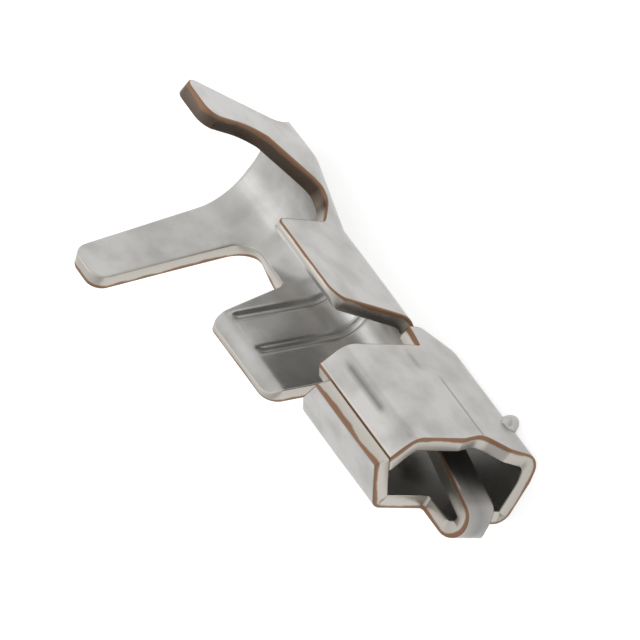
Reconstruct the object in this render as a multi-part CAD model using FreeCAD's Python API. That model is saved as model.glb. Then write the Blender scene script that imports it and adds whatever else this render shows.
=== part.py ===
import FreeCAD, Part
import math
import os

from FreeCAD import Vector

# Crimp contact, stamped and folded from one strip of tinned phosphor bronze.
# Millimetres. +X runs from the wire end to the mating end, +Z is the side that
# the crimp barrels open to. x = 0 is the front of the roof of the contact box,
# y = 0 its middle, and z = 0 the underside of its floor.

# Strip
sheet = 0.20

# Contact box, outer faces, as seen along X
box_length = 1.67
box_half_width = 0.50
shoulder_height = 1.93
ridge_height = 2.32
ridge_offset = 0.10
seam_gap = 0.03
plus_shoulder_radius = 0.28
minus_shoulder_radius = 0.22
minus_corner_radius = 0.28
plus_corner_radius = 0.21
crease_height = 0.82
crease_inset = 0.10
crease_radius = 0.60
roof_corner_cut_length = 0.27
roof_corner_cut_width = 0.48

# Mouth of the box
floor_lip = 0.26
mouth_top = 1.15
mouth_waist = 0.79
mouth_setback = 0.08
mouth_radius = 0.30
lip_height = 0.45
lip_radius = 0.12

# Contact spring, folded back into the box from the front of the -Y wall
spring_root = 0.20
spring_low = 0.39
spring_reach = 0.64
spring_clearance = 0.06
spring_nose_radius = 0.20
fold_radius = 0.22
spring_drift = 11.0
spring_leg = 1.20
contact_bend = 26.0
contact_radius = 0.45
spring_tail = 0.46
spring_tail_low = 0.52
spring_tail_high = 1.02

# Bump that keeps the contact in its housing
bump_x = -0.42
bump_angle = -18.0
bump_radius = 0.11
bump_stand = 0.02

# Web between the box and the conductor barrel
front_neck = 0.48
slot_width = 0.13
slot_floor = 0.38
slot_step = 0.74
slot_slant = 0.05
minus_slot_floor = 0.50
slot_radius = 0.06

# Conductor barrel
conductor_length = 1.65
conductor_floor = 0.27
conductor_radius = 0.56
plus_conductor_lean = 12.4
minus_conductor_lean = 14.5
plus_conductor_tip = 1.95
minus_conductor_tip = 2.00
conductor_rear_slant = 0.26
conductor_rear_corner = 0.14
conductor_front_corner = 0.22

# Grooves pressed across the inside of the conductor barrel
groove_count = 2
groove_pitch = 0.60
groove_front = 0.65
groove_width = 0.10
groove_depth = 0.04

# Web between the two barrels
rear_neck_height = 0.86
rear_neck_length = 0.38
rear_neck_corner = 0.10

# Insulation barrel
flare_length = 0.95
insulation_length = 0.97
insulation_floor = 0.11
plus_insulation_radius = 1.00
minus_insulation_radius = 0.95
plus_insulation_lean = 12.0
minus_insulation_lean = 18.5
plus_insulation_tip = 2.42
minus_insulation_tip = 2.49
tip_width = 0.60
tip_rear_setback = 0.27
tip_radius = 0.20
wing_waist_height = 1.30
wing_waist_setback = 0.21
wing_waist_radius = 0.80
wing_root_radius = 0.45
rear_edge_height = 0.50

# A strip that is only flat at its very bottom keeps this half width of floor
floor_flat = 0.03

# Stations along the contact
box_rear = -box_length
conductor_front = box_rear - front_neck
conductor_rear = conductor_front - conductor_length
insulation_front = conductor_rear - flare_length
insulation_rear = insulation_front - insulation_length

# Room for the tools that trim the blank, beyond every outline
clear = 1.0
high = 4.0
trim_margin = 0.05
wall_top = max(plus_insulation_tip, minus_insulation_tip, minus_conductor_tip) + trim_margin


def tangent_arc(before, corner, after, radius):
    """Ends and middle of the arc that rounds a corner of an outline."""
    into = corner.sub(before).normalize()
    out = after.sub(corner).normalize()
    turn = math.acos(max(-1.0, min(1.0, into.dot(out))))
    reach = radius * math.tan(turn / 2)
    start = corner.sub(into * reach)
    end = corner.add(out * reach)
    bisector = out.sub(into).normalize()
    centre = corner.add(bisector * (radius / math.cos(turn / 2)))
    middle = centre.sub(bisector * radius)
    return start, middle, end


def rounded_edges(points, radii):
    """Lines and tangent arcs through an open row of points."""
    edges = []
    last = points[0]
    for before, corner, after, radius in zip(points, points[1:], points[2:], radii):
        start, middle, end = tangent_arc(before, corner, after, radius)
        edges.append(Part.makeLine(last, start))
        edges.append(Part.Arc(start, middle, end).toShape())
        last = end
    edges.append(Part.makeLine(last, points[-1]))
    return edges


def offset_points(points, distance, side):
    """The row of points moved sideways by one distance, corners kept sharp."""
    moved = []
    count = len(points)
    for index, point in enumerate(points):
        normals = []
        for first, second in ((index - 1, index), (index, index + 1)):
            if first >= 0 and second < count:
                along = points[second].sub(points[first]).normalize()
                normals.append(side.cross(along))
        if len(normals) == 1:
            moved.append(point.add(normals[0] * distance))
        else:
            total = normals[0].add(normals[1])
            scale = 2.0 / total.dot(total)
            moved.append(point.add(total * (scale * distance)))
    return moved


def slid_to_plane(start, end, base, normal):
    """Where the line through two points meets a plane."""
    along = end.sub(start)
    return start.add(along * (base.sub(start).dot(normal) / along.dot(normal)))


def strip_wire(points, radii, near, far, side, end_normal=None):
    """Closed section of a bent strip between two depths under its outer line."""
    outer = rounded_edges(offset_points(points, near, side), [r - near for r in radii])
    inner_points = offset_points(points, far, side)
    if end_normal:
        inner_points[-1] = slid_to_plane(*inner_points[-2:], points[-1], end_normal)
    inner_radii = [r - far for r in radii]
    inner = rounded_edges(inner_points[::-1], inner_radii[::-1])
    first_end = outer[-1].Vertexes[-1].Point
    close_one = Part.makeLine(first_end, inner[0].Vertexes[0].Point)
    close_two = Part.makeLine(inner[-1].Vertexes[-1].Point, outer[0].Vertexes[0].Point)
    return Part.Wire(outer + [close_one] + inner + [close_two])


def trough_points(x, floor, radii, leans, height):
    """Outer corner points of an open barrel: wall, floor, wall."""
    (minus_radius, plus_radius) = radii
    (minus_lean, plus_lean) = [math.radians(lean) for lean in leans]
    minus_foot = -floor_flat - minus_radius * math.tan((math.pi / 2 - minus_lean) / 2)
    plus_foot = floor_flat + plus_radius * math.tan((math.pi / 2 - plus_lean) / 2)
    rise = height - floor
    return [
        Vector(x, minus_foot - rise * math.tan(minus_lean), height),
        Vector(x, minus_foot, floor),
        Vector(x, plus_foot, floor),
        Vector(x, plus_foot + rise * math.tan(plus_lean), height),
    ]


def trough_blank():
    """Both barrels and the webs, with walls still too high."""
    insulation_leans = (minus_insulation_lean, plus_insulation_lean)
    insulation_radii = (minus_insulation_radius, plus_insulation_radius)
    conductor_leans = (minus_conductor_lean, plus_conductor_lean)
    conductor_radii = (conductor_radius, conductor_radius)
    lower_plus = box_half_width - crease_inset
    plus_slope = crease_inset / crease_height
    box_points = [
        Vector(box_rear, -box_half_width, wall_top),
        Vector(box_rear, -box_half_width, 0),
        Vector(box_rear, lower_plus, 0),
        Vector(box_rear, lower_plus + plus_slope * wall_top, wall_top),
    ]
    stations = []
    for x in (insulation_rear, insulation_front):
        row = trough_points(x, insulation_floor, insulation_radii, insulation_leans, wall_top)
        stations.append((row, insulation_radii))
    for x in (conductor_rear, conductor_front):
        row = trough_points(x, conductor_floor, conductor_radii, conductor_leans, wall_top)
        stations.append((row, conductor_radii))
    stations.append((box_points, (minus_corner_radius, plus_corner_radius)))
    wires = [strip_wire(row, radii, 0, sheet, Vector(1, 0, 0)) for row, radii in stations]
    return Part.makeLoft(wires, True, True)


def prism(points, start_y, end_y):
    """Prism across the contact from a side outline of (x, z, corner radius)."""
    row = [Vector(x, start_y, z) for x, z, radius in points]
    count = len(row)
    edges = []
    last = None
    first = None
    for index, (x, z, radius) in enumerate(points):
        corner = row[index]
        if radius > 0:
            before = row[index - 1]
            after = row[(index + 1) % count]
            start, middle, end = tangent_arc(before, corner, after, radius)
            arc = Part.Arc(start, middle, end).toShape()
        else:
            start = corner
            end = corner
            arc = None
        if last is None:
            first = start
        else:
            edges.append(Part.makeLine(last, start))
        if arc:
            edges.append(arc)
        last = end
    edges.append(Part.makeLine(last, first))
    face = Part.Face(Part.Wire(edges))
    return face.extrude(Vector(0, end_y - start_y, 0))


def wing_trim(tip_height, conductor_tip):
    """Outline over the insulation wing, the rear web and the conductor wing."""
    tip_rear = insulation_rear + tip_rear_setback
    tip_front = tip_rear + tip_width
    web_rear = conductor_rear - rear_neck_length
    return [
        (insulation_rear - clear, rear_edge_height, 0),
        (insulation_rear, rear_edge_height, 0),
        (insulation_rear + wing_waist_setback, wing_waist_height, wing_waist_radius),
        (tip_rear, tip_height, tip_radius),
        (tip_front, tip_height, tip_radius),
        (insulation_front, wing_waist_height, wing_waist_radius),
        (web_rear, rear_neck_height, wing_root_radius),
        (conductor_rear, rear_neck_height, rear_neck_corner),
        (conductor_rear + conductor_rear_slant, conductor_tip, conductor_rear_corner),
        (conductor_front, conductor_tip, conductor_front_corner),
    ]


def side_trims():
    """What is removed beside the wings, one solid for each side."""
    plus = wing_trim(plus_insulation_tip, plus_conductor_tip) + [
        (conductor_front, slot_floor, slot_radius),
        (conductor_front + slot_width, slot_floor, slot_radius),
        (conductor_front + slot_width + slot_slant, slot_step, slot_radius),
        (box_rear + clear, slot_step, 0),
        (box_rear + clear, high + clear, 0),
        (insulation_rear - clear, high + clear, 0),
    ]
    minus = wing_trim(minus_insulation_tip, minus_conductor_tip) + [
        (conductor_front, minus_slot_floor, slot_radius),
        (box_rear + clear, minus_slot_floor, 0),
        (box_rear + clear, high + clear, 0),
        (insulation_rear - clear, high + clear, 0),
    ]
    return prism(plus, 0, high), prism(minus, 0, -high)


def ridge_frame():
    """Edge of the flap on the seam, the way it climbs and the way through it."""
    rise = ridge_height - shoulder_height
    run = box_half_width + ridge_offset
    length = math.hypot(rise, run)
    edge = Vector(0, ridge_offset, ridge_height)
    return edge, Vector(0, run / length, rise / length), Vector(0, rise / length, -run / length)


def box_outline():
    """Outer corner points and radii of the closed box, seam to seam."""
    edge, climb, through = ridge_frame()
    points = [
        edge,
        Vector(0, -box_half_width, shoulder_height),
        Vector(0, -box_half_width, 0),
        Vector(0, box_half_width - crease_inset, 0),
        Vector(0, box_half_width, crease_height),
        Vector(0, box_half_width, shoulder_height),
        edge.add(through * (sheet + seam_gap)),
    ]
    radii = [
        minus_shoulder_radius,
        minus_corner_radius,
        plus_corner_radius,
        crease_radius,
        plus_shoulder_radius,
    ]
    return points, radii


def box_blank():
    """The closed box, with its front still square and too long."""
    points, radii = box_outline()
    edge, climb, through = ridge_frame()
    placed = [Vector(box_rear, point.y, point.z) for point in points]
    wire = strip_wire(placed, radii, 0, sheet, Vector(1, 0, 0), through)
    return Part.Face(wire).extrude(Vector(box_length + clear, 0, 0))


def mouth_trims():
    """What is removed at the front of the box: above, and on each side."""
    far = box_length + 2 * clear
    above = prism(
        [(0, mouth_top, 0), (far, mouth_top, 0), (far, high, 0), (0, high, 0)], -high, high
    )
    plus = prism(
        [
            (0, mouth_top, 0),
            (-mouth_setback, mouth_waist, mouth_radius),
            (floor_lip, lip_height, lip_radius),
            (floor_lip, -clear, 0),
            (far, -clear, 0),
            (far, mouth_top, 0),
        ],
        0,
        high,
    )
    minus = prism(
        [
            (spring_root, mouth_top, 0),
            (spring_root, spring_low, 0),
            (floor_lip, spring_low - spring_clearance, 0),
            (floor_lip, -clear, 0),
            (far, -clear, 0),
            (far, mouth_top, 0),
        ],
        0,
        -high,
    )
    return above, plus, minus


def roof_corner():
    """Rear corner that is cut from the flap on the seam."""
    edge, climb, through = ridge_frame()
    base = edge.add(climb * (seam_gap / 2)).add(through * (sheet + seam_gap / 2))
    behind = Vector(box_rear - clear, 0, 0)
    slope = roof_corner_cut_width / roof_corner_cut_length
    corners = [
        base.add(behind),
        base.add(Vector(box_rear + roof_corner_cut_length, 0, 0)),
        base.add(behind).sub(climb * (roof_corner_cut_width + slope * clear)),
    ]
    face = Part.Face(Part.makePolygon(corners + [corners[0]]))
    return face.extrude(through * -(sheet + clear))


def contact_spring():
    """The folded spring: out of the wall, round the nose and back inside."""
    drift = math.radians(180 - spring_drift)
    tail = drift + math.radians(contact_bend)
    nose_y = -box_half_width + 2 * fold_radius
    root = Vector(spring_root, -box_half_width, 0)
    corner = Vector(spring_reach, -box_half_width, 0)
    turn = Vector(spring_reach, nose_y, 0)
    touch = turn.add(Vector(math.cos(drift), math.sin(drift), 0) * spring_leg)
    end = touch.add(Vector(math.cos(tail), math.sin(tail), 0) * spring_tail)
    radii = [fold_radius, fold_radius, contact_radius]
    wire = strip_wire([root, corner, turn, touch, end], radii, 0, sheet, Vector(0, 0, 1))
    band = Part.Face(wire).extrude(Vector(0, 0, mouth_top + clear))
    side = prism(
        [
            (end.x - clear, spring_tail_low, 0),
            (end.x, spring_tail_low, 0),
            (spring_root, spring_low, 0),
            (spring_reach, spring_low, spring_nose_radius),
            (spring_reach, mouth_top, spring_nose_radius),
            (spring_root, mouth_top, 0),
            (end.x, spring_tail_high, 0),
            (end.x - clear, spring_tail_high, 0),
        ],
        -high,
        high,
    )
    return band.common(side)


def retention_bump():
    """Small round bump on the lower corner of the box."""
    foot = box_half_width - crease_inset
    wall = math.atan2(crease_height, crease_inset)
    reach = plus_corner_radius * math.tan(wall / 2)
    centre = Vector(bump_x, foot - reach, plus_corner_radius)
    angle = math.radians(bump_angle)
    out = Vector(0, math.cos(angle), math.sin(angle))
    return Part.makeSphere(bump_radius, centre.add(out * (plus_corner_radius + bump_stand)))


def grooves():
    """Pressed grooves that grip the strands of the wire."""
    leans = (minus_conductor_lean, plus_conductor_lean)
    radii = (conductor_radius, conductor_radius)
    cutters = []
    for index in range(groove_count):
        x = conductor_front - groove_front - index * groove_pitch
        row = trough_points(x, conductor_floor, radii, leans, wall_top)
        wire = strip_wire(row, radii, sheet - groove_depth, sheet + groove_depth, Vector(1, 0, 0))
        cutters.append(Part.Face(wire).extrude(Vector(-groove_width, 0, 0)))
    return cutters


def contact():
    trough = trough_blank()
    for tool in side_trims():
        trough = trough.cut(tool)
    box = box_blank()
    for tool in mouth_trims():
        box = box.cut(tool)
    box = box.cut(roof_corner())
    body = trough.fuse([box, contact_spring(), retention_bump()])
    body = body.cut(grooves())
    body = body.removeSplitter()
    return body.Solids[0] if len(body.Solids) == 1 else body


os.makedirs("parts", exist_ok=True)
shape = contact()
shape.exportStep("parts/crimp_contact.step")
print("solids", len(shape.Solids), "valid", shape.isValid(), "volume", round(shape.Volume, 4))
print("box", shape.BoundBox)
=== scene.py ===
import math

import bmesh
import bpy
from mathutils import Matrix, Vector, noise


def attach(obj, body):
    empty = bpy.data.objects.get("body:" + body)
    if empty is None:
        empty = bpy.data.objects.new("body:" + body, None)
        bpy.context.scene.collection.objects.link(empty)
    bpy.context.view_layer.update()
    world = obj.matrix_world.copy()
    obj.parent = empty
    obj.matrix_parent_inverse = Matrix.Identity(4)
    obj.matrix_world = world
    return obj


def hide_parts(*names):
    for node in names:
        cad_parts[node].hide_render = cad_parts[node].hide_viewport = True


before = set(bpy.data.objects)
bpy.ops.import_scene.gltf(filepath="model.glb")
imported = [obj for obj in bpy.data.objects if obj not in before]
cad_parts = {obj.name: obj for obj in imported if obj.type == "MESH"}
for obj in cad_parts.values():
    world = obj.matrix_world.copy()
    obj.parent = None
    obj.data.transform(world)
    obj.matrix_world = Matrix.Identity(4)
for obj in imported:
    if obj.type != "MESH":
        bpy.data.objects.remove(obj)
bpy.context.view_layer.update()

millimetre = 0.001
tiny = 1e-6

# The strip, in millimetres. Each side of the contact is a chain of flats and
# bends that starts at the middle of the floor and runs outwards.
strip = dict(
    thickness=0.20,
    edgeBreak=0.016,
    gridAlong=0.055,
    gridAcross=0.040,
    gridShift=0.0137,
    waveHeight=0.005,
    waveLength=0.75,
    wavePlane=0.3,
    slack=0.001,
)

# Places along the contact, from the wire end to the mating end
stations = dict(
    insulationRear=-5.72,
    insulationFront=-4.75,
    conductorRear=-3.80,
    conductorFront=-2.15,
    boxRear=-1.67,
    lip=0.26,
)

insulation = dict(
    floor=0.11,
    flat=0.03,
    minusRadius=0.95,
    plusRadius=0.96,
    minusLean=18.5,
    plusLean=12.0,
    minusTip=2.57,
    plusTip=2.40,
    tipRadius=0.20,
    minusRearTrim=[(0.0, 0.14, 0.20), (0.11, 0.82, 0.80)],
    minusTipTrim=(0.25, 0.84),
    minusFrontTrim=[(0.83, 0.45, 0.35)],
    plusRearTrim=[(0.0, 0.15, 0.10), (0.57, 0.88, 0.45)],
    plusTipTrim=(0.11, 0.86),
    plusFrontTrim=[(0.86, 1.72, 0.80), (1.50, 0.58, 0.20)],
)

conductor = dict(
    floor=0.27,
    flat=0.03,
    minusRadius=0.56,
    plusRadius=0.56,
    minusLean=13.6,
    plusLean=12.4,
    minusTip=1.98,
    plusTip=1.95,
    rearSlant=0.26,
    rearCorner=0.14,
    frontCorner=0.22,
    webHeight=0.86,
    webCorner=0.10,
    slotWidth=0.13,
    slotSlant=0.05,
    plusSlotFloor=0.38,
    slotStep=0.74,
    minusSlotFloor=0.50,
    slotRadius=0.06,
    grooves=[-2.85, -3.45],
    grooveWidth=0.10,
    grooveDepth=0.035,
    grooveWall=0.045,
    coinWidth=0.20,
    coinDepth=0.11,
    grooveFade=0.12,
)

box = dict(
    minusHalf=0.57,
    plusHalf=0.535,
    shoulder=1.93,
    ridge=2.32,
    ridgeOffset=0.10,
    seamGap=0.003,
    mitreReach=0.12,
    minusShoulderRadius=0.17,
    plusShoulderRadius=0.28,
    minusRadius=0.17,
    plusRadius=0.22,
    creaseHeight=0.82,
    creaseInset=0.10,
    creaseRadius=0.25,
    cutLength=0.27,
    cutWidth=0.48,
    cutRadius=0.05,
    seamCorner=0.02,
    mouthTop=1.15,
    mouthCorner=0.04,
    waistHeight=0.79,
    waistSetback=0.08,
    waistRadius=0.30,
    lipHeight=0.45,
    lipRadius=0.10,
    lipSlant=0.13,
    lipFlat=0.10,
    lipBend=0.30,
)

bump = dict(x=-0.39, sweep=60.0, height=0.13, radius=0.12, fullness=0.8, cuts=6)
dent = dict(x=-0.13, fromSeam=0.30, depth=0.035, radius=0.10)

# The spring goes on from the -Y wall: forwards, round the nose and back inside
spring = dict(
    root=0.20,
    low=0.39,
    clearance=0.06,
    high=1.15,
    reach=0.64,
    foldRadius=0.22,
    drift=11.0,
    leg=1.20,
    bend=26.0,
    bendRadius=0.45,
    tail=0.46,
    tailLow=0.58,
    tailHigh=1.00,
    tailCorner=0.08,
    rootLow=0.50,
    noseLow=0.74,
    noseHigh=1.06,
    noseRadius=0.28,
    bladeRadius=0.30,
    legLow=0.60,
    legHigh=1.06,
)


def turnReach(radius, turn):
    return radius * math.tan(turn / 2)


def chainLength(chain):
    return sum(piece[1] if piece[0] == "flat" else piece[1] * piece[2] for piece in chain)


# Edge of the flap on the seam, the way it climbs and the way through it
def ridgeFrame():
    rise = box["ridge"] - box["shoulder"]
    run = box["minusHalf"] + box["ridgeOffset"]
    climb = Vector((run, rise)).normalized()
    return Vector((box["ridgeOffset"], box["ridge"])), climb, Vector((climb.y, -climb.x))


def wallAndFlap(wallHeight, radius, run, rise):
    flapTurn = math.pi / 2 - math.atan2(rise, run)
    reach = turnReach(radius, flapTurn)
    return [
        ("flat", wallHeight - reach),
        ("bend", radius, flapTurn),
        ("flat", math.hypot(rise, run) - reach),
    ]


# Both sides of the closed box, and how far the hidden flap's end is slanted
def boxChains():
    minusHalf, plusHalf = box["minusHalf"], box["plusHalf"]
    edge, climb, through = ridgeFrame()
    minusReach = turnReach(box["minusRadius"], math.pi / 2)
    minusRise = edge.y - box["shoulder"]
    minusWall = box["shoulder"] - minusReach
    minus = [("flat", minusHalf - minusReach), ("bend", box["minusRadius"], math.pi / 2)]
    minus += wallAndFlap(minusWall, box["minusShoulderRadius"], minusHalf + edge.x, minusRise)
    foot = plusHalf - box["creaseInset"]
    wallTurn = math.atan2(box["creaseHeight"], box["creaseInset"])
    creaseTurn = math.pi / 2 - wallTurn
    plusReach = turnReach(box["plusRadius"], wallTurn)
    creaseReach = turnReach(box["creaseRadius"], creaseTurn)
    lowerWall = math.hypot(box["creaseHeight"], box["creaseInset"])
    end = edge + through * (strip["thickness"] + box["seamGap"])
    plus = [
        ("flat", foot - plusReach),
        ("bend", box["plusRadius"], wallTurn),
        ("flat", lowerWall - plusReach - creaseReach),
        ("bend", box["creaseRadius"], creaseTurn),
    ]
    plusWall = box["shoulder"] - box["creaseHeight"] - creaseReach
    plusRise = end.y - box["shoulder"]
    plus += wallAndFlap(plusWall, box["plusShoulderRadius"], plusHalf - end.x, plusRise)
    heading = Vector((end.x - plusHalf, plusRise)).normalized()
    inwards = Vector((-heading.y, heading.x))
    return minus, plus, -inwards.dot(through) / heading.dot(through)


boxMinus, boxPlus, mitre = boxChains()
plusEnd = chainLength(boxPlus)
minusEnd = -chainLength(boxMinus)


def barrelRow(part):
    row = dict(floor=part["floor"])
    for side in ("minus", "plus"):
        row[side] = (part["flat"], part[side + "Radius"], math.radians(90 - part[side + "Lean"]))
    return row


boxRow = dict(
    floor=0.0,
    minus=(boxMinus[0][1], boxMinus[1][1], boxMinus[1][2]),
    plus=(boxPlus[0][1], boxPlus[1][1], boxPlus[1][2]),
)
rows = [
    (stations["insulationRear"], barrelRow(insulation)),
    (stations["insulationFront"], barrelRow(insulation)),
    (stations["conductorRear"], barrelRow(conductor)),
    (stations["conductorFront"], barrelRow(conductor)),
    (stations["boxRear"], boxRow),
]
endlessWall = 9.0
halvings = 30


# Floor height, and the flats and bends of one side, at a place along the contact
def chainAt(x, side):
    if x >= stations["boxRear"]:
        return 0.0, (boxMinus if side == "minus" else boxPlus)
    for (startX, start), (endX, end) in zip(rows, rows[1:]):
        if x <= endX:
            share = max(0.0, (x - startX) / (endX - startX))
            floor = start["floor"] + (end["floor"] - start["floor"]) * share
            flat, radius, turn = [a + (b - a) * share for a, b in zip(start[side], end[side])]
            return floor, [("flat", flat), ("bend", radius, turn), ("flat", endlessWall)]


# Place across and up of a point that far along the chain and that deep in the strip
def followChain(floor, chain, distance, depth):
    place = Vector((0.0, floor))
    heading = 0.0
    left = distance
    for index, piece in enumerate(chain):
        along = Vector((math.cos(heading), math.sin(heading)))
        inwards = Vector((-along.y, along.x))
        if piece[0] == "flat":
            if left <= piece[1] or index == len(chain) - 1:
                return place + along * left + inwards * depth
            place = place + along * piece[1]
            left -= piece[1]
            continue
        radius, turn = piece[1], piece[2]
        centre = place + inwards * radius
        angle = heading - math.pi / 2 + min(left / radius, turn)
        rim = Vector((math.cos(angle), math.sin(angle)))
        if left <= radius * turn:
            return centre + rim * (radius - depth)
        place = centre + rim * radius
        heading += turn
        left -= radius * turn


# Distance from the middle of the blank at which the folded strip has this height
def acrossAt(x, height, side):
    floor, chain = chainAt(x, side)
    low, high = 0.0, endlessWall / 2
    if x >= stations["boxRear"]:
        high = chainLength(chain[:-2])
    for step in range(halvings):
        middle = (low + high) / 2
        if followChain(floor, chain, middle, 0).y < height:
            low = middle
        else:
            high = middle
    return low if side == "plus" else -low


# Flats and bends of the spring as seen from above, from its root
def springPath():
    foldTurn = math.radians(180 - spring["drift"])
    second = foldTurn - math.pi / 2
    bendTurn = math.radians(spring["bend"])
    firstReach = turnReach(spring["foldRadius"], math.pi / 2)
    secondReach = turnReach(spring["foldRadius"], second)
    bendReach = turnReach(spring["bendRadius"], bendTurn)
    return [
        ("flat", spring["reach"] - spring["root"] - firstReach),
        ("bend", spring["foldRadius"], math.pi / 2),
        ("flat", 2 * spring["foldRadius"] - firstReach - secondReach),
        ("bend", spring["foldRadius"], second),
        ("flat", spring["leg"] - secondReach - bendReach),
        ("bend", spring["bendRadius"], bendTurn),
        ("flat", spring["tail"] - bendReach),
    ]


springChain = springPath()
springEnd = spring["root"] + chainLength(springChain)
springNose = spring["reach"] + spring["foldRadius"] * (math.pi / 2 - 1)
bumpAcross = boxPlus[0][1] + box["plusRadius"] * math.radians(bump["sweep"])
wingTips = dict(
    minus=-acrossAt(-3.0, conductor["minusTip"], "minus"),
    plus=acrossAt(-3.0, conductor["plusTip"], "plus"),
)


def ramp(value, start, end):
    share = min(1.0, max(0.0, (value - start) / (end - start)))
    return share * share * (3 - 2 * share)


# What the press tools do to the strip before it is folded: grooves, thinned
# wing edges, the bump, a dent and the slight waviness of thin stock
def pressedDepth(x, across, depth):
    inner = depth / strip["thickness"]
    wave = noise.noise(Vector((x, across, strip["wavePlane"])) / strip["waveLength"])
    shift = strip["waveHeight"] * wave
    half, wall = conductor["grooveWidth"] / 2, conductor["grooveWall"] / 2
    if stations["conductorRear"] < x < stations["conductorFront"]:
        tip = wingTips["plus" if across > 0 else "minus"]
        coin = tip - conductor["coinWidth"]
        fade = coin - conductor["grooveFade"]
        for middle in conductor["grooves"]:
            inGroove = 1 - ramp(abs(x - middle), half - wall, half + wall)
            inBarrel = 1 - ramp(abs(across), fade, coin)
            shift -= conductor["grooveDepth"] * inner * inGroove * inBarrel
        shift -= conductor["coinDepth"] * inner * ramp(abs(across), coin, tip)
    away = math.hypot(x - bump["x"], across - bumpAcross) / bump["radius"]
    if away < 1:
        shift -= bump["height"] * (1 - away * away) ** bump["fullness"]
    away = math.hypot(x - dent["x"], across - (plusEnd - dent["fromSeam"])) / dent["radius"]
    shift += dent["depth"] * math.exp(-away * away)
    return depth + shift


# Where a point of the flat blank goes when the strip is folded, in metres
def foldedPoint(blank):
    x, across, depth = blank
    depth = pressedDepth(x, across, depth)
    if x > stations["lip"] + strip["slack"]:
        height = followChain(0.0, boxMinus, abs(across), 0).y
        place = followChain(0.0, springChain, x - spring["root"], depth)
        return Vector((place.x + spring["root"], place.y - box["minusHalf"], height)) * millimetre
    side = "plus" if across >= 0 else "minus"
    floor, chain = chainAt(x, side)
    if x >= stations["boxRear"]:
        across += depth * mitre * ramp(across, plusEnd - box["mitreReach"], plusEnd)
    place = followChain(floor, chain, abs(across), depth)
    return Vector((x, place.x if side == "plus" else -place.x, place.y)) * millimetre


# Corners of one insulation wing, the web and one conductor wing: along, height, radius
def wingOutline(side):
    rear = stations["insulationRear"]
    tipTrim = [(x, insulation[side + "Tip"], insulation["tipRadius"]) for x in insulation[side + "TipTrim"]]
    trim = insulation[side + "RearTrim"] + tipTrim + insulation[side + "FrontTrim"]
    wingRear = stations["conductorRear"] + conductor["rearSlant"]
    return [(rear + x, height, radius) for x, height, radius in trim] + [
        (stations["conductorRear"], conductor["webHeight"], conductor["webCorner"]),
        (wingRear, conductor[side + "Tip"], conductor["rearCorner"]),
        (stations["conductorFront"], conductor[side + "Tip"], conductor["frontCorner"]),
    ]


# Corners of the flat blank: along, across, radius of the rounded corner
def blankOutline():
    front, rear = stations["lip"], stations["boxRear"]
    slot = conductor["slotRadius"]
    slotRear = stations["conductorFront"]
    slotFront = slotRear + conductor["slotWidth"]

    def wall(side, x, height, radius):
        return (x, acrossAt(x, height, side), radius)

    def blade(x, height, radius):
        return (x, acrossAt(0.0, height, "minus"), radius)

    bladeStart = spring["reach"] - spring["foldRadius"]
    bladeEnd = 2 * springNose - bladeStart
    nose, side, tail = spring["noseRadius"], spring["bladeRadius"], spring["tailCorner"]
    minusSide = [wall("minus", *place) for place in wingOutline("minus")] + [
        wall("minus", slotRear, conductor["minusSlotFloor"], slot),
        wall("minus", rear, conductor["minusSlotFloor"], slot),
        (rear, minusEnd + box["cutWidth"], box["cutRadius"]),
        (rear + box["cutLength"], minusEnd, box["cutRadius"]),
        (0.0, minusEnd, box["seamCorner"]),
        wall("minus", 0.0, box["mouthTop"], box["mouthCorner"]),
        blade(bladeStart, spring["high"], side),
        blade(springNose, spring["noseHigh"], nose),
        blade(bladeEnd, spring["legHigh"], side),
        blade(springEnd, spring["tailHigh"], tail),
        blade(springEnd, spring["tailLow"], tail),
        blade(bladeEnd, spring["legLow"], side),
        blade(springNose, spring["noseLow"], nose),
        blade(bladeStart, spring["rootLow"], side),
        wall("minus", spring["root"], spring["low"], 0.0),
        wall("minus", front, spring["low"] - spring["clearance"], 0.0),
    ]
    plusSide = [wall("plus", *place) for place in wingOutline("plus")] + [
        wall("plus", slotRear, conductor["plusSlotFloor"], slot),
        wall("plus", slotFront, conductor["plusSlotFloor"], slot),
        wall("plus", slotFront + conductor["slotSlant"], conductor["slotStep"], slot),
        wall("plus", rear, conductor["slotStep"], slot),
        (rear, plusEnd, box["seamCorner"]),
        (0.0, plusEnd, box["seamCorner"]),
        wall("plus", 0.0, box["mouthTop"], box["mouthCorner"]),
        wall("plus", -box["waistSetback"], box["waistHeight"], box["waistRadius"]),
        wall("plus", front - box["lipSlant"], box["lipHeight"], box["lipRadius"]),
        (front, box["lipFlat"], box["lipBend"]),
    ]
    return minusSide + plusSide[::-1]


corner = dict(leastTurn=0.02, arcStep=0.12, fewest=2, sideShare=0.46)


# Each corner of the flat outline gets an arc of its own radius
def roundCorners(mesh, corners, outline):
    places = [Vector((x, across)) for x, across, radius in outline]
    count = len(places)
    for index, (x, across, radius) in enumerate(outline):
        into = places[index] - places[index - 1]
        out = places[(index + 1) % count] - places[index]
        turn = into.angle(out)
        if radius == 0 or turn < corner["leastTurn"]:
            continue
        longest = corner["sideShare"] * min(into.length, out.length)
        bmesh.ops.bevel(
            mesh, geom=[corners[index]], offset=min(turnReach(radius, turn), longest),
            offset_type="OFFSET", affect="VERTICES",
            segments=max(corner["fewest"], round(turn / corner["arcStep"])), profile=0.5, material=-1,
        )


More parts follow.
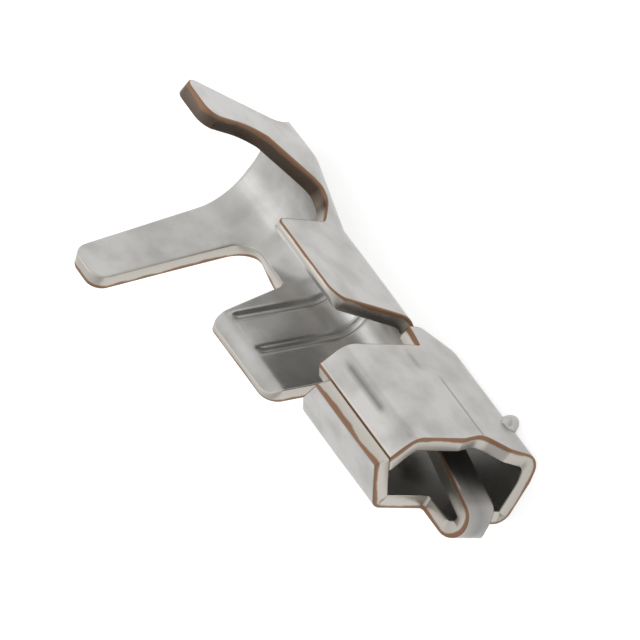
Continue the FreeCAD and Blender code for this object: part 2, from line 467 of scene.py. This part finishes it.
def flatBlank():
    mesh = bmesh.new()
    outline = blankOutline()
    corners = [mesh.verts.new((x, across, 0.0)) for x, across, radius in outline]
    face = mesh.faces.new(corners)
    mesh.normal_update()
    if face.normal.z > 0:
        bmesh.ops.reverse_faces(mesh, faces=[face])
    roundCorners(mesh, corners, outline)
    grown = bmesh.ops.extrude_face_region(mesh, geom=mesh.faces[:])
    moved = [item for item in grown["geom"] if isinstance(item, bmesh.types.BMVert)]
    bmesh.ops.translate(mesh, verts=moved, vec=(0, 0, strip["thickness"]))
    bmesh.ops.recalc_face_normals(mesh, faces=mesh.faces[:])
    print("blank cut,", len(mesh.verts), "points")
    return mesh


def cutAcross(mesh, axis, place):
    normal = Vector((0.0, 0.0, 0.0))
    normal[axis] = 1.0
    everything = mesh.verts[:] + mesh.edges[:] + mesh.faces[:]
    bmesh.ops.bisect_plane(mesh, geom=everything, plane_co=normal * place, plane_no=normal, dist=tiny)


# Cuts that let the plate follow the bends, and closer ones at the small features
def gridCuts(mesh):
    for axis, step in ((0, strip["gridAlong"]), (1, strip["gridAcross"])):
        low = min(vertex.co[axis] for vertex in mesh.verts)
        high = max(vertex.co[axis] for vertex in mesh.verts)
        place = low + step + strip["gridShift"]
        while place < high:
            cutAcross(mesh, axis, place)
            place += step
    half = conductor["grooveWidth"] / 2
    for middle in conductor["grooves"]:
        for side in (-1, 1):
            for offset in (-0.5, 0.0, 0.5):
                cutAcross(mesh, 0, middle + side * (half + offset * conductor["grooveWall"]))
    for axis, centre in ((0, bump["x"]), (1, bumpAcross)):
        for step in range(-bump["cuts"], bump["cuts"] + 1):
            cutAcross(mesh, axis, centre + bump["radius"] * step / bump["cuts"])


def makeContact():
    mesh = flatBlank()
    rim = [edge for edge in mesh.edges if abs(edge.verts[0].co.z - edge.verts[1].co.z) < tiny]
    for face in mesh.faces:
        face.material_index = 0 if abs(face.normal.z) > 0.5 else 1
    bmesh.ops.bevel(
        mesh, geom=rim, offset=strip["edgeBreak"], offset_type="OFFSET", affect="EDGES",
        segments=2, profile=0.5, material=1,
    )
    gridCuts(mesh)
    print("plate gridded,", len(mesh.faces), "faces")
    depthLayer = mesh.verts.layers.float.new("stripDepth")
    uvLayer = mesh.loops.layers.uv.new("blank")
    for face in mesh.faces:
        face.smooth = True
        for loop in face.loops:
            loop[uvLayer].uv = (loop.vert.co.x, loop.vert.co.y)
    for vertex in mesh.verts:
        vertex[depthLayer] = vertex.co.z / strip["thickness"]
        vertex.co = foldedPoint(vertex.co)
    data = bpy.data.meshes.new("contactSheet")
    mesh.to_mesh(data)
    mesh.free()
    piece = bpy.data.objects.new("contactSheet", data)
    bpy.context.scene.collection.objects.link(piece)
    data.materials.append(tinFinish())
    data.materials.append(cutFinish())
    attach(piece, "root")
    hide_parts("crimp_contact")
    print("contact folded")


# Matt tin plating with faint clouds, rolling lines and a fine grain
tin = dict(
    colour=(0.49, 0.482, 0.468, 1.0),
    dullColour=(0.36, 0.35, 0.332, 1.0),
    # The next colour is painted shade, used for the darker patches listed below
    paintedShadeColour=(0.17, 0.162, 0.15, 1.0),
    smooth=0.29,
    rough=0.36,
    cloudScale=2.2,
    cloudDetail=4.0,
    cloudSpan=(0.42, 0.68),
    dullest=0.8,
    lineScale=(0.5, 16.0, 1.0),
    lineDetail=3.0,
    lineSpan=(0.3, 0.7),
    grainScale=38.0,
    grainDetail=3.0,
    grainHeight=0.0000007,
)

# Painted shade and painted dark reflections on the tin: darker patches by the seam, along the crease, at
# the dent, on the spring blade and on the -Y insulation wing; their places along and across the flat blank,
# half width and strength
creaseAcross = chainLength(boxPlus[:3])
bladeMiddle = acrossAt(0.0, 0.85, "minus")
paintedShadeFade = dict(rear=0.15, front=0.10)
paintedShades = [
    dict(along=(-1.50, -0.55), across=plusEnd - 0.27, reach=0.075, strength=0.85),
    dict(along=(-1.15, -0.02), across=creaseAcross, reach=0.030, strength=0.75),
    dict(along=(-1.62, -1.20), across=creaseAcross + 0.22, reach=0.070, strength=0.45),
    dict(along=(-0.22, -0.04), across=plusEnd - 0.36, reach=0.060, strength=0.70),
    dict(along=(0.42, 2.30), across=bladeMiddle, reach=0.50, strength=0.70),
    dict(along=(-6.20, -4.40), across=-1.70, reach=1.60, strength=0.26),
]

# Cut edges: bare bronze where the strip tore, burnished where it was sheared, with painted shade darkening
# the sheared band on the +Y insulation wing
cut = dict(
    burnished=(0.50, 0.475, 0.43, 1.0),
    bronze=(0.27, 0.16, 0.10, 1.0),
    # Painted shade: a dark reflection painted on the sheared band of the +Y insulation wing
    shadedBurnish=(0.13, 0.10, 0.08, 1.0),
    tornShare=0.20,
    ragged=0.24,
    raggedSpan=(0.3, 0.7),
    sheared=0.12,
    burnishedRough=0.38,
    bronzeRough=0.55,
    rearWingAlong=(-3.8, -4.1),
    rearWingAcross=(0.2, 0.5),
)


def newMaterial(name):
    material = bpy.data.materials.new(name)
    material.use_nodes = True
    tree = material.node_tree
    return material, tree, tree.nodes["Principled BSDF"]


def noiseNode(tree, source, scale, detail):
    node = tree.nodes.new("ShaderNodeTexNoise")
    node.inputs["Scale"].default_value = scale
    node.inputs["Detail"].default_value = detail
    tree.links.new(source, node.inputs["Vector"])
    return node.outputs[0]


def rangeNode(tree, source, fromLow, fromHigh, toLow, toHigh):
    node = tree.nodes.new("ShaderNodeMapRange")
    node.inputs["From Min"].default_value = fromLow
    node.inputs["From Max"].default_value = fromHigh
    node.inputs["To Min"].default_value = toLow
    node.inputs["To Max"].default_value = toHigh
    tree.links.new(source, node.inputs["Value"])
    return node.outputs[0]


# Inputs 6 and 7 and output 2 of the mix node are its colours
def mixColour(tree, factor, first, second):
    node = tree.nodes.new("ShaderNodeMix")
    node.data_type = "RGBA"
    tree.links.new(factor, node.inputs["Factor"])
    for socket, value in ((node.inputs[6], first), (node.inputs[7], second)):
        if isinstance(value, bpy.types.NodeSocket):
            tree.links.new(value, socket)
        else:
            socket.default_value = value
    return node.outputs[2]


# Shared marks of the strip: clouds, rolling lines, grain and a fine bumpy normal
def sheetMarks():
    group = bpy.data.node_groups.new("sheetMarks", "ShaderNodeTree")
    for name, kind in (("Cloud", "Float"), ("Lines", "Float"), ("Grain", "Float"), ("Normal", "Vector")):
        group.interface.new_socket(name, in_out="OUTPUT", socket_type="NodeSocket" + kind)
    place = group.nodes.new("ShaderNodeTexCoord")
    scaled = group.nodes.new("ShaderNodeVectorMath")
    scaled.operation = "SCALE"
    scaled.inputs["Scale"].default_value = 1 / millimetre
    group.links.new(place.outputs["Object"], scaled.inputs[0])
    blank = group.nodes.new("ShaderNodeUVMap")
    blank.uv_map = "blank"
    stretched = group.nodes.new("ShaderNodeVectorMath")
    stretched.operation = "MULTIPLY"
    stretched.inputs[1].default_value = tin["lineScale"]
    group.links.new(blank.outputs["UV"], stretched.inputs[0])
    cloud = noiseNode(group, scaled.outputs[0], tin["cloudScale"], tin["cloudDetail"])
    lines = noiseNode(group, stretched.outputs[0], 1.0, tin["lineDetail"])
    grain = noiseNode(group, scaled.outputs[0], tin["grainScale"], tin["grainDetail"])
    relief = group.nodes.new("ShaderNodeBump")
    relief.inputs["Distance"].default_value = tin["grainHeight"]
    group.links.new(grain, relief.inputs["Height"])
    out = group.nodes.new("NodeGroupOutput")
    for index, value in enumerate((cloud, lines, grain, relief.outputs[0])):
        group.links.new(value, out.inputs[index])
    return group


def multiplied(tree, first, second):
    node = tree.nodes.new("ShaderNodeMath")
    node.operation = "MULTIPLY"
    tree.links.new(first, node.inputs[0])
    tree.links.new(second, node.inputs[1])
    return node.outputs[0]


# Soft mask of one patch of painted shade, from its place on the flat blank
def paintedShadeMask(tree, along, across, shadePatch):
    rear, front = shadePatch["along"]
    middle, reach = shadePatch["across"], shadePatch["reach"]
    rising = rangeNode(tree, along, rear, rear + paintedShadeFade["rear"], 0.0, 1.0)
    falling = rangeNode(tree, along, front - paintedShadeFade["front"], front, shadePatch["strength"], 0.0)
    below = rangeNode(tree, across, middle - reach, middle, 0.0, 1.0)
    above = rangeNode(tree, across, middle, middle + reach, 1.0, 0.0)
    return multiplied(tree, multiplied(tree, rising, falling), multiplied(tree, below, above))


def blankPlace(tree):
    blank = tree.nodes.new("ShaderNodeUVMap")
    blank.uv_map = "blank"
    split = tree.nodes.new("ShaderNodeSeparateXYZ")
    tree.links.new(blank.outputs["UV"], split.inputs[0])
    return split.outputs["X"], split.outputs["Y"]


def marksNode(tree):
    node = tree.nodes.new("ShaderNodeGroup")
    node.node_tree = bpy.data.node_groups.get("sheetMarks") or sheetMarks()
    return node


def tinFinish():
    material, tree, shader = newMaterial("brightTin")
    marks = marksNode(tree)
    dull = rangeNode(tree, marks.outputs["Cloud"], *tin["cloudSpan"], 0.0, tin["dullest"])
    colour = mixColour(tree, dull, tin["colour"], tin["dullColour"])
    along, across = blankPlace(tree)
    # Painted shade and painted reflections darken the tin colour in patches
    for shadePatch in paintedShades:
        colour = mixColour(tree, paintedShadeMask(tree, along, across, shadePatch), colour, tin["paintedShadeColour"])
    rough = rangeNode(tree, marks.outputs["Lines"], *tin["lineSpan"], tin["smooth"], tin["rough"])
    shader.inputs["Metallic"].default_value = 1.0
    tree.links.new(colour, shader.inputs["Base Color"])
    tree.links.new(rough, shader.inputs["Roughness"])
    tree.links.new(marks.outputs["Normal"], shader.inputs["Normal"])
    return material


def cutFinish():
    material, tree, shader = newMaterial("cutEdge")
    marks = marksNode(tree)
    depth = tree.nodes.new("ShaderNodeAttribute")
    depth.attribute_name = "stripDepth"
    swing = cut["ragged"] / 2
    uneven = rangeNode(tree, marks.outputs["Cloud"], *cut["raggedSpan"], -swing, swing)
    total = tree.nodes.new("ShaderNodeMath")
    tree.links.new(depth.outputs["Fac"], total.inputs[0])
    tree.links.new(uneven, total.inputs[1])
    torn = cut["tornShare"]
    sheared = rangeNode(tree, total.outputs[0], torn, torn + cut["sheared"], 0.0, 1.0)
    along, across = blankPlace(tree)
    # Painted shade: the burnished band of the +Y insulation wing's cut edges is darkened to stand in for a
    # dark reflection
    atRear = rangeNode(tree, along, *cut["rearWingAlong"], 0.0, 1.0)
    onPlusSide = rangeNode(tree, across, *cut["rearWingAcross"], 0.0, 1.0)
    shadedWingMask = multiplied(tree, atRear, onPlusSide)
    face = mixColour(tree, shadedWingMask, cut["burnished"], cut["shadedBurnish"])
    colour = mixColour(tree, sheared, cut["bronze"], face)
    rough = rangeNode(tree, sheared, 0.0, 1.0, cut["bronzeRough"], cut["burnishedRough"])
    shader.inputs["Metallic"].default_value = 1.0
    tree.links.new(colour, shader.inputs["Base Color"])
    tree.links.new(rough, shader.inputs["Roughness"])
    tree.links.new(marks.outputs["Normal"], shader.inputs["Normal"])
    return material


view = dict(
    right=(0.495, 0.461, -0.7357),
    back=(0.5585, 0.4774, 0.6749),
    target=(-2.28, 0.35, 1.81),
    distance=120.0,
    frameWidth=7.53,
    sensor=36.0,
    nearest=0.001,
    farthest=10.0,
)


def makeCamera():
    data = bpy.data.cameras.new("photoView")
    data.sensor_width = view["sensor"]
    data.lens = view["sensor"] * view["distance"] / view["frameWidth"]
    data.clip_start = view["nearest"]
    data.clip_end = view["farthest"]
    camera = bpy.data.objects.new("photoView", data)
    bpy.context.scene.collection.objects.link(camera)
    back = Vector(view["back"]).normalized()
    right = Vector(view["right"])
    right = (right - back * right.dot(back)).normalized()
    turn = Matrix((right, back.cross(right), back)).transposed().to_4x4()
    place = (Vector(view["target"]) + back * view["distance"]) * millimetre
    camera.matrix_world = Matrix.Translation(place) @ turn
    bpy.context.scene.camera = camera
    print("camera set")


# White backdrop: the eye and mirrors see it lit from itself, and it keeps a faint shadow
backdrop = dict(size=1.0, colour=(0.5, 0.5, 0.5, 1.0), glow=0.70)


def makeStage():
    mesh = bmesh.new()
    bmesh.ops.create_grid(mesh, x_segments=1, y_segments=1, size=backdrop["size"] / 2)
    data = bpy.data.meshes.new("paleFloor")
    mesh.to_mesh(data)
    mesh.free()
    floor = bpy.data.objects.new("paleFloor", data)
    bpy.context.scene.collection.objects.link(floor)
    material, tree, shader = newMaterial("paleFloor")
    shader.inputs["Base Color"].default_value = backdrop["colour"]
    shader.inputs["Roughness"].default_value = 1.0
    shader.inputs["Emission Color"].default_value = (1, 1, 1, 1)
    path = tree.nodes.new("ShaderNodeLightPath")
    total = path.outputs["Is Camera Ray"]
    for name in ("Is Glossy Ray", "Is Transmission Ray"):
        add = tree.nodes.new("ShaderNodeMath")
        tree.links.new(total, add.inputs[0])
        tree.links.new(path.outputs[name], add.inputs[1])
        total = add.outputs[0]
    glow = rangeNode(tree, total, 0.0, 1.0, 0.0, backdrop["glow"])
    tree.links.new(glow, shader.inputs["Emission Strength"])
    data.materials.append(material)
    print("floor set")


lamps = [
    dict(name="topSoft", place=(-45, 10, 70), size=50, watts=0.004),
    dict(name="sideSoft", place=(-20, 70, 35), size=40, watts=0.0006),
]
sky = dict(towards=(-0.6, 0.1, 0.8), dark=0.30, bright=1.15)


def makeLights():
    for lamp in lamps:
        data = bpy.data.lights.new(lamp["name"], "AREA")
        data.shape = "DISK"
        data.size = lamp["size"] * millimetre
        data.energy = lamp["watts"]
        light = bpy.data.objects.new(lamp["name"], data)
        bpy.context.scene.collection.objects.link(light)
        place = Vector(lamp["place"]) * millimetre
        light.location = place
        light.rotation_mode = "QUATERNION"
        light.rotation_quaternion = (Vector(view["target"]) * millimetre - place).to_track_quat("-Z", "Y")
    world = bpy.data.worlds.new("studio")
    bpy.context.scene.world = world
    world.use_nodes = True
    tree = world.node_tree
    direction = tree.nodes.new("ShaderNodeTexCoord")
    facing = tree.nodes.new("ShaderNodeVectorMath")
    facing.operation = "DOT_PRODUCT"
    facing.inputs[1].default_value = Vector(sky["towards"]).normalized()
    tree.links.new(direction.outputs["Generated"], facing.inputs[0])
    strength = rangeNode(tree, facing.outputs["Value"], -1.0, 1.0, sky["dark"], sky["bright"])
    tree.links.new(strength, tree.nodes["Background"].inputs["Strength"])
    tree.nodes["Background"].inputs["Color"].default_value = (1.0, 1.0, 1.0, 1.0)
    print("lights set")


bpy.context.scene.view_settings.view_transform = "Standard"
makeCamera()
makeStage()
makeLights()
makeContact()
